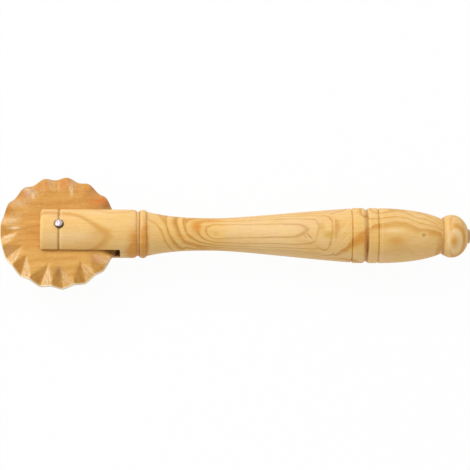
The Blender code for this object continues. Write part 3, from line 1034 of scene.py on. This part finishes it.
# %% The handle's surface
turning = cloud(plank, (3.2, 0.02, 0.02), 3)
dress(handle_piece, handle_wood, shader, colour,
      roughness=(1 - core) * 0.08 + fibres * 0.05 + 0.44,
      relief=core * 0.35 + fibres * 0.3 + turning * 0.3 - cracks * 1.5,
      bump_strength=0.35, bump_height=0.00012)

# %% [markdown]
# The wheel is of a browner wood, sawn flat, so its faces show fine straight streaks and
# no bands. It is darker towards the upper left.

# %% The wheel's wood
wheel_wood, tree, shader = new_material("wheel_wood", {"Specular IOR Level": 0.35})
disc = in_frame(tree, lay_down)
disc_x, disc_y, disc_z = parts(disc)
disc_bend = cloud(disc, (0.08, 0.12, 0.12))
slant = combined(tree, disc_x * 0.12, disc_y * 1.5 - disc_x * 0.04 + disc_bend * 1.6, disc_z * 1.2)
streaks = cloud(slant, detail=3, roughness=0.65)
bands = (cloud(slant, (0.4, 0.28, 0.3)) * 1.2 + 0.5).clamp()
flecks = cloud(disc, (0.7, 1.1, 1.1), 2, 0.6)
blotches = cloud(disc, scale=0.16)
upper_left = (disc_y - disc_x * 0.5).step(-8, 6) * 0.75
colour = bands.colours(rgb(0.61, 0.29, 0.045), rgb(0.74, 0.40, 0.09))
colour = colour.over((upper_left, bands.colours(rgb(0.55, 0.225, 0.026), rgb(0.67, 0.325, 0.06))))
colour = marbled(colour, streaks, 0.9, (0.6, 0.42, 0.17, 0.025), (0.55, 0.82, 0.50, 0.17))
colour = marbled(colour, flecks, 0.9, (0.45, 0.42, 0.17, 0.03), (0.4, 0.84, 0.55, 0.20))

# %% [markdown]
# Near the rim the front face has soft marks: orange where sap darkened the wood, grey
# where it is worn, and a few pale chips.

# %% Marks on the wheel's front face
front_side = disc_z.step(-0.5, 1)
mark_x, mark_y = disc_x + flecks * 0.8 + blotches, disc_y + streaks * 0.6
face_marks = (
    # mm along and across from the pin, length and breadth, strength, red, green and blue
    (2.5, 22, 3.2, 2.4, 0.8, 0.66, 0.22, 0.03), (17.6, 14.2, 4.5, 2.6, 0.95, 0.62, 0.17, 0.02),
    (-5.4, 21.2, 2.6, 1.8, 0.7, 0.62, 0.21, 0.03), (13, 19, 3, 2, 0.7, 0.66, 0.23, 0.03),
    (-15, 17.4, 3.4, 2.2, 0.6, 0.62, 0.22, 0.03), (-12.9, 17.7, 3, 2.4, 0.5, 0.62, 0.40, 0.27),
    (-17, 13.2, 2.8, 1.4, 0.5, 0.55, 0.42, 0.24), (-20.1, 5.5, 2.2, 2.6, 0.45, 0.55, 0.40, 0.20),
    (-0.2, -19, 2.2, 2.6, 0.8, 0.36, 0.17, 0.04), (-17.2, -15.4, 3, 1.8, 0.7, 0.60, 0.24, 0.03),
    (16.6, -12.9, 2.6, 1.3, 0.7, 0.74, 0.33, 0.17), (-21, -9.5, 2, 2.4, 0.5, 0.62, 0.38, 0.20),
    (-14.2, 19.6, 1.4, 0.7, 0.5, 0.90, 0.68, 0.42), (-11.4, 16, 0.6, 1.5, 0.6, 0.92, 0.70, 0.42),
    (4.9, 18.3, 0.6, 2.2, 0.6, 0.90, 0.66, 0.36), (-0.6, 20.3, 0.5, 1.8, 0.5, 0.90, 0.66, 0.36),
    (-19, 1.2, 2.4, 0.5, 0.8, 0.94, 0.74, 0.46), (-22.4, -2.2, 2.4, 0.5, 0.8, 0.94, 0.74, 0.46))
for x, y, length, breadth, strength, *tint in face_marks:
    mark = spot(mark_x, mark_y, (x, y), (length, breadth)) * front_side
    colour = colour.over((mark * strength, rgb(*tint)))
print(len(face_marks), "marks")

# %% [markdown]
# The filed flutes are newly cut, paler wood with a streaky, torn surface. On top of
# that, a highlight is painted on one side of each flute and shade on the other. The
# streaks run outward, so their noise is read from the direction of each point and hardly
# from its distance. The rim's edge is brown above and cream below, where the cream is a
# painted highlight over the cut wood.

# %% The flutes' two sides, and the rim
face_at, rim_at = half_thickness * 1000, wheel_radius * 1000
cut = 1 - abs(disc_z).step(face_at - 0.5, face_at - 0.06)
side_shade = Wire.node(tree, "Attribute", {"attribute_name": "flute_shade"}, output="Fac")
far_out = from_middle(disc_x, disc_y)
direction = Wire.node(tree, "VectorMath", {"operation": "DIVIDE"},
                      {0: disc, 1: combined(tree, far_out, far_out, 9)})
torn = cloud(direction, detail=3, roughness=0.7, scale=24)
# paler cut wood and its torn streaks, plus a painted highlight on one side of each flute and painted shade
# on the other
cut_and_highlight = cut * ((side_shade * 1.2).clamp() * (torn * 2.4 + 0.8) + (torn - 0.15).clamp() * 1.2)
shaded = cut * ((-side_shade).clamp() * (0.5 - torn * 1.6) + (-torn - 0.2).clamp() * 0.9)
# the rim's edge: cream below as a painted highlight over the cut wood, brown above
rim_edge = far_out.step(rim_at - 0.5, rim_at - 0.05)
low_rim_highlight = 1 - (disc_y + disc_x * 0.4).step(-12, 2)
colour = colour.over(
    (cut_and_highlight.clamp() * 0.9, rgb(0.90, 0.66, 0.37)),
    (shaded.clamp() * 0.9, rgb(0.45, 0.19, 0.025)),
    (rim_edge * 0.85, low_rim_highlight.colours(rgb(0.56, 0.24, 0.06), rgb(0.95, 0.82, 0.58))))
dress(wheel_piece, wheel_wood, shader, colour,
      roughness=streaks * 0.06 - cut * 0.08 + 0.55,
      relief=streaks * 0.5 + torn * cut * 1.2,
      bump_strength=0.4, bump_height=0.00015)

# %% [markdown]
# The pin's head is bright steel, a little dented where the hammer drove it home, with a
# dark ring round its edge: dirt, and a painted shadow that makes it thicker at the lower
# right. The dents are a coarse bump, so the reflections break up into small light and
# dark patches.

# %% The pin's steel
pin_steel, tree, shader = new_material("pin_steel", {"Metallic": 1.0})
nail = in_frame(tree, lay_down)
nail_x, nail_y = parts(nail)[:2]
dents = cloud(nail, detail=1, scale=0.9)
scratches = cloud(nail, (0.8, 5, 0.8))
# painted shadow: the dark ring is thicker at the lower right, where the raised head casts its shadow
low_right = ((nail_x * 0.5 - nail_y * 0.87) / (pin_head_radius * 1000)).step(-0.3, 0.8)
grime_and_shadow = (from_middle(nail_x, nail_y).step(1.1, 1.7) * (low_right * 0.6 + 0.45)).clamp()
colour = (dents + 0.5).clamp().colours(rgb(0.66, 0.54, 0.57), rgb(0.88, 0.76, 0.79))
colour = colour.over((grime_and_shadow, rgb(0.14, 0.08, 0.06)))
dress(pin_piece, pin_steel, shader, colour,
      roughness=scratches * 0.08 + grime_and_shadow * 0.3 + 0.38,
      relief=dents * 1.2 + scratches * 0.1,
      bump_strength=0.7, bump_height=0.0003)

# %% [markdown]
# Each piece was modelled straight, so it is laid down now in its own mesh, and its
# object stays at the origin. It then rides on its body, so that it moves with the joint,
# and stands for the plain solid that it replaces.

# %% Lay the pieces down and let them ride
for piece, node, body, slot_name in (
        (handle_piece, "handle", "handle", "handle_wood"),
        (wheel_piece, "pastry_wheel", "wheel", "wheel_wood"),
        (pin_piece, "axle_pin", "handle", "pin_steel")):
    piece.data.transform(lay_down)
    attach(piece, body)
    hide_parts(node)
    print(piece.name, "rides on", body)
